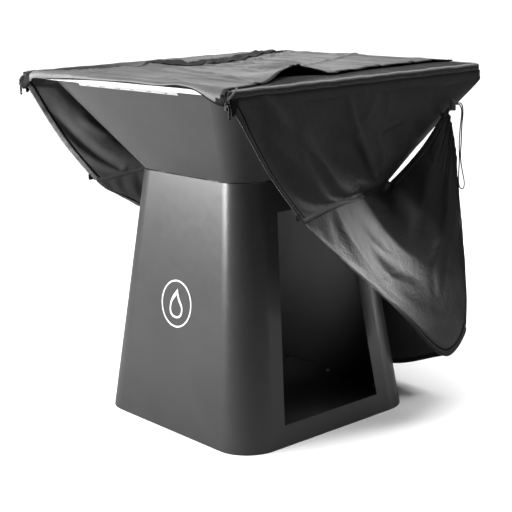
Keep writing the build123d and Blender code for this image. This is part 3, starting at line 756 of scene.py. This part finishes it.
def free_edge_zip(word, upper, lower, tape_look, teeth_look):
    """Zip tape, teeth and stitches along the free edge of a side panel."""
    pieces = (("upper", upper, "first_column", ()), ("lower", lower, "last_row", (f"zip_tape_{word}",)))
    for part, sheet, side, replaced in pieces:
        if part == "lower":
            sheet = sheet[:, : int(sheet.shape[1] * ZIP_SHARE)]
        tape = margin(sheet, side, -ZIP_OUT, ZIP_IN, 6)
        strip_piece(f"zip_tape_{word}_{part}", tape, 2.2 * MM, tape_look, "zip_tape", *replaced)
        # a near-black strip just in from the zip tape, as painted shadow in the gap beside it
        shadow_line = margin(sheet, side, ZIP_IN, ZIP_IN + 6 * MM, 4)
        strip_piece(f"zip_shadow_line_{word}_{part}", shadow_line, 1.6 * MM, SHADE_FABRIC, "cover_fabric")
        edge, normal = tape[0], normals_of(tape)[0]
        teeth = f"zip_teeth_{word}_{part}"
        bead_rows(teeth, [(edge, normal)], 2.6 * MM, TOOTH, teeth_look, "slider_metal")
        rows = sewn_line(sheet, side, ZIP_IN - 2 * MM, 1.35 * MM)
        rows += sewn_line(sheet, side, 2.5 * MM, 1.35 * MM)
        sew(f"zip_stitches_{word}_{part}", rows)


def neck_binding(word, upper, lower, corner, material):
    """The bound seam that joins the upper and the lower part of a panel at the neck."""
    low = upper[-1]
    high = through(lower[0, : int(lower.shape[1] * corner)], len(low))
    above = margin(upper, "last_row", 5 * MM, 6 * MM, 2)[0]
    down = unit(high - low)
    rows = np.stack([above, low, (low + high) / 2, high, high + down * 4 * MM])
    strip_piece(f"neck_seam_{word}", rows, 2.4 * MM, material, "cover_fabric")
    normal = normals_of(rows)
    lines = [(rows[1] + normal[1] * side * 1.4 * MM, normal[1]) for side in (-1, 1)]
    sew(f"neck_stitches_{word}", lines)


def hem(name, sheet, side, width, share=(0.0, 1.0), material=FABRIC):
    """A stitched hem along a share of one side."""
    count = sheet.shape[1] if side.endswith("row") else sheet.shape[0]
    first, last = int(count * share[0]), int(count * share[1])
    cut = sheet[:, first:last] if side.endswith("row") else sheet[first:last]
    strip_piece(name, margin(cut, side, -0.5 * MM, width, 5), 2.3 * MM, material, "cover_fabric")
    sew(name + "_stitches", sewn_line(cut, side, width - 2 * MM, 1.4 * MM))


ZIP_OUT, ZIP_IN = 5 * MM, 9 * MM
NECK_SHARE = 0.66  # how much of its first row is the neck seam; the rest is the rear seam
# the left zip gets the pale tape as painted light, the right one pale teeth as painted highlight
for word, tape_look, teeth_look in (("right", TAPE, TEETH_HIGHLIGHT), ("left", LIT_TAPE, SLIDER)):
    upper, lower = sheets[f"cover_{word}_upper"], sheets[f"cover_{word}_lower"]
    free_edge_zip(word, upper, lower, tape_look, teeth_look)
    neck_binding(word, upper, lower, NECK_SHARE, FABRIC if word == "right" else COATED)
    hem(f"rear_seam_{word}", lower, "first_row", 15 * MM, (NECK_SHARE, 1.0))
    hem(f"hem_{word}", lower, "last_row", 13 * MM, (ZIP_SHARE, 1.0), TAPE)
    hem(f"corner_seam_{word}", upper, "last_column", 7 * MM)
    hem(f"hem_end_{word}", lower, "last_column", 14 * MM, material=TAPE)
upper, lower = sheets["cover_rear_upper"], sheets["cover_rear_lower"]
neck_binding("rear", upper, lower, 1.0, FABRIC)
hem("hem_rear", lower, "last_row", 14 * MM, material=TAPE)
for side in ("first_column", "last_column"):
    hem(f"rear_edge_{side}", lower, side, 8 * MM)
    hem(f"rear_corner_{side}", upper, side, 6 * MM)


# ---- Cover: top panel with its band, and the front panel thrown back over it ----
TOP_FLAT, EDGE_R, BAND_DROP = 398.5, 5.0, 9.0  # flat half width, edge rounding, band (mm)
TOP_Z, BULGE = 876.6, 5.0
FLAP_LIFT = 3.0  # the flap lies this far over the top panel


def swell(x, y):
    """How far the loose top stands up: nothing at its edges, most in the middle."""
    inner = np.clip(1 - np.abs(x / 404) ** 6, 0, 1) * np.clip(1 - np.abs(y / 404) ** 6, 0, 1)
    waves = np.sin(x / 47 + 1.3) * np.sin(y / 39) + 0.6 * np.sin(x / 90 - y / 60)
    return inner * (BULGE + 0.9 * waves)


def ridge(x, y, line, width, height):
    """A fold that runs along a line of (x, y) places, in mm."""
    path = through(line, 60)
    away = np.hypot(x[..., None] - path[:, 0], y[..., None] - path[:, 1])
    return height * np.exp(-((away.min(-1) / width) ** 2))


def fine_wrinkles(x, y, count, seed):
    """Long low wrinkles, nearly parallel to the front edge."""
    draw = np.random.RandomState(seed)
    total = np.zeros_like(x)
    for _ in range(count):
        middle, level, half = draw.uniform(-300, 300), draw.uniform(-392, 390), draw.uniform(60, 260)
        lean, bend = draw.uniform(-0.16, 0.05), draw.uniform(-9, 9)
        width, height = draw.uniform(2.6, 6.5), draw.uniform(0.5, 1.7)
        along = (x - middle) / half
        centre = level + lean * (x - middle) + bend * np.cos(along * 2.2)
        fade = np.clip(1 - along**2, 0, 1)
        total += height * fade * np.exp(-(((y - centre) / width) ** 2))
    return total


# places along a ridge (x, y), its width and height
TOP_RIDGES = [
    ([(-196, 40), (-222, 140), (-262, 240), (-300, 340)], 20, 6.5),
    ([(-352, -330), (-300, -150), (-330, 60)], 16, 2.5),
    ([(-372, -100), (-352, 120), (-366, 300)], 12, 1.8),
]


def top_sheet():
    reach = EDGE_R * math.pi / 2 + BAND_DROP
    outer = TOP_FLAT + np.linspace(0, reach, 9)
    inner = np.linspace(-TOP_FLAT + 4, TOP_FLAT - 4, 130)
    across = np.concatenate([-outer[::-1], inner, outer])
    back = np.concatenate([[-402.0], inner, outer])
    a, b = np.meshgrid(across, back)
    past_x, past_y = np.clip(np.abs(a) - TOP_FLAT, 0, None), np.clip(b - TOP_FLAT, 0, None)
    run = np.maximum(past_x, past_y)
    turn = np.where(
        past_x >= past_y,
        math.pi / 4 * past_y / np.maximum(past_x, 1e-6),
        math.pi / 2 - math.pi / 4 * past_x / np.maximum(past_y, 1e-6),
    )
    curl = np.clip(run / EDGE_R, 0, math.pi / 2)
    out = EDGE_R * np.sin(curl)
    down = EDGE_R * (1 - np.cos(curl)) + np.clip(run - EDGE_R * math.pi / 2, 0, None)
    ripple = 0.5 * np.sin(b / 31) + 0.5 * np.sin(b / 13 + a / 17)
    x = np.sign(a) * (np.minimum(np.abs(a), TOP_FLAT) + (out + ripple * (run > 0)) * np.cos(turn))
    y = np.minimum(b, TOP_FLAT) + (out + ripple * (run > 0)) * np.sin(turn)
    flat = run == 0
    z = TOP_Z - down + swell(x, y) + flat * 0.8 * fine_wrinkles(x, y, 50, 3)
    for line, width, height in TOP_RIDGES:
        z += flat * ridge(x, y, line, width, height)
    return np.stack([x, y, z], -1) * MM


# the flap's side edges (x, y), from front to rear
FLAP_LEFT = [
    (-396, -407), (-300, -365), (-250, -304), (-176, -171), (-118, -80), (-150, 50), (-245, 260),
    (-272, 415),
]
FLAP_RIGHT = [
    (396, -407), (368, -262), (340, -200), (306, -120), (318, -75), (345, -50), (338, 25),
    (326, 150), (318, 300), (312, 415),
]
# y along the flap's right edge, and how far it stands up there
EDGE_LIFT = [(-415, 0), (-275, 0), (-240, 6), (-200, 15), (-160, 19), (-120, 20), (-80, 13), (-52, 2),
             (-20, 2), (15, 4), (45, 1), (90, 4), (130, 1.5), (190, 4), (260, 2), (330, 3), (415, 0)]
# rows of the roll over the front edge: y, z, and how far each is drawn out and down at the corners
FRONT_ROLL = [
    (-398, 875.4, 6.5, 25), (-404, 874.6, 1.5, 28), (-407, 874.8, 2, 29), (-408.5, 877, 2, 27),
    (-407, 880.5, 2.5, 20), (-403.5, 882.8, 3, 11), (-396, 883.4, 3, 5), (-384, 882.4, 0, 2),
]
# x, and how far the roll's lower rows hang there
FRONT_SAG = ((-400, -300, -180, -60, 230), (11, 10.5, 5, 1, 0))
BACK_DROP = [(407, 881), (411, 876), (412, 864), (411, 830), (410.4, 776)]  # y, z behind the plate
FLAP_RIDGES = [
    ([(-178, -172), (-152, -140), (-126, -112)], 13, 12),
    ([(-112, -60), (-120, 10), (-178, 130), (-250, 300)], 17, 6.5),
    ([(-156, -162), (74, -216), (268, -268), (378, -298)], 6, 3.2),
    ([(-60, 20), (-128, 190), (-235, 380)], 8, 3),
    ([(-14, 412), (80, 210), (166, 31)], 9, 3),
    ([(-300, -372), (-60, -352), (150, -362)], 7, 1.8),
]
# y along the flap, and how wide its turned-over left margin is there
TURNED = [(-172, 12), (-150, 42), (-127, 64), (-25, 58), (59, 52), (179, 50), (300, 34), (377, 13)]


def soft_step(value):
    value = np.clip(value, 0, 1)
    return value**2 * (3 - 2 * value)


def flap_sheet():
    """The front panel: rolled over the plate's front edge, along the top and down behind it."""
    share = np.linspace(0, 1, 120)
    left, right = through(FLAP_LEFT, 200), through(FLAP_RIGHT, 200)
    lifts = through(EDGE_LIFT, 200)

    def across_at(y):
        x0, x1 = np.interp(y, left[:, 1], left[:, 0]), np.interp(y, right[:, 1], right[:, 0])
        return x0 + (x1 - x0) * share

    rows = []
    for y, z, out, drop in FRONT_ROLL:
        x = across_at(y)
        drawn = soft_step((x - 280) / 112) + soft_step((-x - 340) / 54)
        sag = np.interp(x, FRONT_SAG[0], FRONT_SAG[1]) * (872 < z < 879)
        puff = 4.5 * np.exp(-(((x - 235) / 42) ** 2)) * (z > 876) + 0.9 * np.sin(x / 41) * (z > 876)
        ripple = 1.1 * np.sin(x / 29) * (y < -403)
        forward = out * drawn - ripple + 0.7 * sag * (y > -400) * (z < 879)
        rows.append(np.stack([x, y - forward, z - drop * drawn - sag + puff], -1))
    for y in np.linspace(-368, 400, 130):
        x = across_at(y)
        ys = np.full_like(x, y)
        z = TOP_Z + FLAP_LIFT + swell(x, ys) + 1.9 * fine_wrinkles(x, ys, 140, 11)
        z += np.interp(y, lifts[:, 0], lifts[:, 1]) * np.clip((share - 0.68) / 0.32, 0, 1) ** 2
        for line, width, height in FLAP_RIDGES:
            z += ridge(x, ys, line, width, height)
        rows.append(np.stack([x, ys, z], -1))
    for y, z in BACK_DROP:
        x = across_at(y)
        rows.append(np.stack([x, y + 1.3 * np.sin(x / 29), np.full_like(x, z)], -1))
    return np.array(rows) * MM


top, flap = top_sheet(), flap_sheet()
fabric_piece("cover_top_cloth", top, "cover_top")
flap_cloth = fabric_piece(
    "cover_front_cloth", flap, "cover_front_flap",
    inside=-1,
)


def blacken(cloth):
    """Blackens the first rows of the front roll, where it turns under, and patches at the corners where the
    zips pull the flap down: painted shade.
    """
    for _ in range(2):
        cloth.data.materials.append(SHADE_FABRIC)
    black = len(cloth.data.materials) - 1
    for face in cloth.data.polygons:
        x, y, z = face.center
        edge = face.index < 3 * (flap.shape[1] - 1)
        left_corner_shade = x < -0.36 and y < -0.385 and z < 0.88
        right_corner_shade = y < -0.39 and z < 0.852 + 0.35 * (x - 0.35)
        if edge or left_corner_shade or right_corner_shade:
            face.material_index = black


blacken(flap_cloth)


def flap_zip(word, side):
    """Half of a corner zip, sewn on the flap's edge: tape, teeth and two stitch lines."""
    tape = margin(flap[4:], side, -1 * MM, 11 * MM, 5)
    strip_piece(f"flap_tape_{word}_cloth", tape, 2.4 * MM, TAPE, "zip_tape", f"flap_tape_{word}")
    edge, normal = tape[0], normals_of(tape)[0]
    bead_rows(f"flap_teeth_{word}", [(edge, normal)], 2.6 * MM, TOOTH, SLIDER, "slider_metal")
    sew(f"flap_stitches_{word}", sewn_line(flap[4:], side, 9 * MM, 1.45 * MM))


def turned_margin():
    """The flap's left margin, turned over on itself with its black outside up; it has the matte zip tape
    look so that it reads darker than the cover, as painted shade.
    """
    line = flap[:, 0]
    ends = [int(np.argmin(np.abs(line[:, 1] - y * MM))) for y in (TURNED[0][0], TURNED[-1][0])]
    cut = flap[ends[0] : ends[1]]
    along = cut[:, 0, 1] / MM
    width = np.interp(along, *np.transpose(TURNED)) + 3.5 * np.sin(along / 11) + 2.5 * np.sin(along / 27)
    strip = margin(cut, "first_column", 10 * MM, np.maximum(width, 11) * MM, 12)
    crumple = np.linspace(0, 1, 12)[:, None] * (1.2 + np.sin(along / 14) + 0.7 * np.sin(along / 6.1))
    strip[..., 2] += (2.1 + np.maximum(crumple, 0)) * MM
    # matte tape look: painted shade along the turned edge
    strip_piece("flap_turned_margin", strip, 1.2 * MM, TAPE, "cover_fabric")


flap_zip("right", "last_column")
flap_zip("left", "first_column")
turned_margin()
hem("hem_front", flap, "last_row", 12 * MM)


# ---- Cover: piping under the band on three sides ----
def tube_piece(name, line, radius, material, slot, *replaced, sides=8):
    """A round tube along a line of points, closed at both ends."""
    line = np.asarray(line)
    along = unit(np.gradient(line, axis=0))
    radius = np.broadcast_to(radius, len(line))
    start = np.array([0, 0, 1.0]) if abs(along[0, 2]) < 0.8 else np.array([1.0, 0, 0])
    across = unit(np.cross(along, start))
    up = np.cross(across, along)
    corners = []
    for place, a, b, r in zip(line, across, up, radius):
        for k in range(sides):
            turn = 2 * math.pi * k / sides
            corners.append(place + (a * math.cos(turn) + b * math.sin(turn)) * r)
    last = (len(line) - 1) * sides
    ends = [tuple(range(sides))[::-1], tuple(last + k for k in range(sides))]
    faces = ring_faces(len(line), sides) + ends
    return dress(mesh_object(name, corners, faces), material, "cover", slot, *replaced)


PIPING_AT, PIPING_Z, PIPING_R = 405.2, 862.0, 2.0
for word, turn in (("rear", 0), ("left", 90), ("right", -90)):
    along = np.linspace(-396, 396, 200)
    wander = 0.5 * np.sin(along / 23) + 0.35 * np.sin(along / 9.7)
    line = np.stack([along, PIPING_AT + 0.4 * wander, PIPING_Z + wander], -1)
    spin = np.array(Matrix.Rotation(math.radians(turn), 3, "Z"))
    line = (line @ spin.T) * MM
    outward = spin @ np.array([0, 1.0, 0])
    tube_piece(f"piping_{word}_cloth", line, PIPING_R * MM, TAPE, "piping", f"piping_{word}")
    above = line + outward * (0.1 * MM) + np.array([0, 0, 3.6 * MM])
    sew(f"piping_stitches_{word}", [(above, np.tile(outward, (len(line), 1)))])
    # a pale tube along the top of the band, as a painted highlight on its rolled edge
    roll = line * [400.6 / PIPING_AT, 400.6 / PIPING_AT, 1] + np.array([0, 0, 12.2 * MM])
    tube_piece(f"band_roll_{word}", roll, 4.2 * MM, ROLL_HIGHLIGHT, "cover_fabric")


# ---- Cover: gathered corners, where the flap funnels into the zip sliders ----
def corner_gather(word, side):
    """A pleated funnel of fabric from the flap's corner down to the slider."""
    path = through([(390, -409, 868), (397, -410.5, 862), (402.5, -411, 856), (404, -410.5, 850)], 26)
    widths = np.interp(np.linspace(0, 1, 26), [0, 0.25, 0.6, 1], [5, 7.5, 6, 4.4])
    spokes, rows = 40, []
    for i, (place, width) in enumerate(zip(path, widths)):
        turn = np.linspace(0, 2 * math.pi, spokes, endpoint=False)
        pleat = 1 + 0.2 * np.sin(5 * turn + 0.15 * i) + 0.1 * np.sin(9 * turn - 0.2 * i)
        rows.append(np.stack([
            side * (place[0] + np.cos(turn) * width * pleat),
            place[1] + np.sin(turn) * width * 0.35 * pleat,
            place[2] + np.sin(turn) * width * 0.45 * pleat,
        ], -1))
    corners = np.array(rows) * MM
    last = (len(rows) - 1) * spokes
    ends = [tuple(range(spokes)), tuple(last + k for k in range(spokes))[::-1]]
    faces = ring_faces(len(rows), spokes) + ends
    gather = mesh_object(f"corner_gather_{word}", corners, faces)
    # painted shade: the funnel is near black and without gloss, for the shade in its pleats
    dress(gather, SHADE_FABRIC, "cover", "cover_fabric")


corner_gather("right", 1)
corner_gather("left", -1)


def corner_shade_patch(word, side):
    """A small near-black sheet over the top end of a corner zip, as painted shade in the hollow there, and
    the flap's tape end running into it.
    """
    down, along = np.meshgrid(np.linspace(0, 1, 7), np.linspace(0, 1, 6), indexing="ij")
    reach = 20 * (1 - down) ** 0.7 + 5
    puff = 1.6 * np.sin(math.pi * along) * np.sin(math.pi * (0.1 + 0.8 * down))
    x = side * (405.4 + puff - 1.2 * down)
    y = -402 + along * reach + 7 * down
    patch = np.stack([x, y, 863 - 39 * down], -1) * MM
    strip_piece(f"corner_shade_patch_{word}", patch, 1.6 * MM, SHADE_FABRIC, "cover_fabric")
    if word == "right":
        line = through([(398, -374, 880.5), (404.5, -385, 876), (406.8, -397, 867), (406, -408, 857),
                        (404, -412, 850)], 24)
        ribbon = np.stack([line + np.array([0, 0.55, -0.84]) * shift for shift in (-2.6, 0, 2.6)])
        # the tape end is the pale tape, as painted light
        strip_piece("flap_tape_end", ribbon * MM, 1.4 * MM, LIT_TAPE, "zip_tape")


corner_shade_patch("right", 1)
corner_shade_patch("left", -1)

dress(drawcord, CORD, "cover", "cord", "drawcord_loop")


# ---- Stage ----
def make_floor():
    size = 60.0
    floor = mesh_object(
        "floor", [(-size, -size, 0), (size, -size, 0), (size, size, 0), (-size, size, 0)], [(0, 1, 2, 3)]
    )
    floor.data.materials.append(floor_material())


def area_light(name, place, aim, size, power, gloss=True, spread=180):
    data = bpy.data.lights.new(name, "AREA")
    data.shape, data.size, data.energy = "DISK", size, power
    data.spread = math.radians(spread)
    lamp = link(bpy.data.objects.new(name, data))
    lamp.visible_camera, lamp.visible_glossy = False, gloss
    lamp.location = place
    lamp.rotation_euler = (Vector(aim) - Vector(place)).to_track_quat("-Z", "Y").to_euler()


def around_object(azimuth, elevation, distance):
    """A place round the object; azimuth 0 is in front of the emblem and 90 in front of the log store."""
    az, el = math.radians(azimuth), math.radians(elevation)
    away = Vector((math.sin(az) * math.cos(el), -math.cos(az) * math.cos(el), math.sin(el)))
    return Vector((0, 0, 0.5)) + away * distance


def make_light():
    world = bpy.data.worlds.new("studio")
    world.use_nodes = True
    background = world.node_tree.nodes["Background"].inputs
    background["Color"].default_value = (1, 1, 1, 1)
    background["Strength"].default_value = 0.02
    bpy.context.scene.world = world
    middle = (0, 0, 0.5)
    area_light("front_strip", around_object(-27, 7, 2.8), middle, 0.4, 46)
    area_light("front_box", around_object(-42, 13, 2.8), middle, 0.7, 80)
    area_light("front_fill", around_object(-12, 25, 3.0), middle, 1.0, 24)
    area_light("back_box", around_object(229, 15, 3.6), (0, 0, 0.88), 1.3, 21)
    area_light("high_box", around_object(145, 48, 3.0), (0.2, 0, 0.8), 0.9, 34)
    area_light("rim_box", around_object(138, -5, 3.0), (0.28, 0.15, 0.12), 0.3, 0.12, spread=22)
    area_light("skirt_pool", around_object(154, 10, 2.4), (0.4, -0.03, 0.42), 0.2, 0.25, spread=10)
    area_light("skirt_light", (-0.2, -1.2, 0.74), (-0.42, -0.25, 0.66), 0.15, 0.8, spread=40)
    area_light("store_light", (0.2, -0.05, 0.36), (-0.2, 0.15, 0.4), 0.25, 1.15, gloss=False, spread=110)
    data = bpy.data.lights.new("overhead", "SUN")
    data.energy, data.angle = 4.5, math.radians(62)
    lamp = link(bpy.data.objects.new("overhead", data))
    lamp.rotation_euler = (-around_object(12, 75, 1)).to_track_quat("-Z", "Y").to_euler()


make_floor()
make_light()
bpy.context.scene.view_settings.view_transform = "Standard"
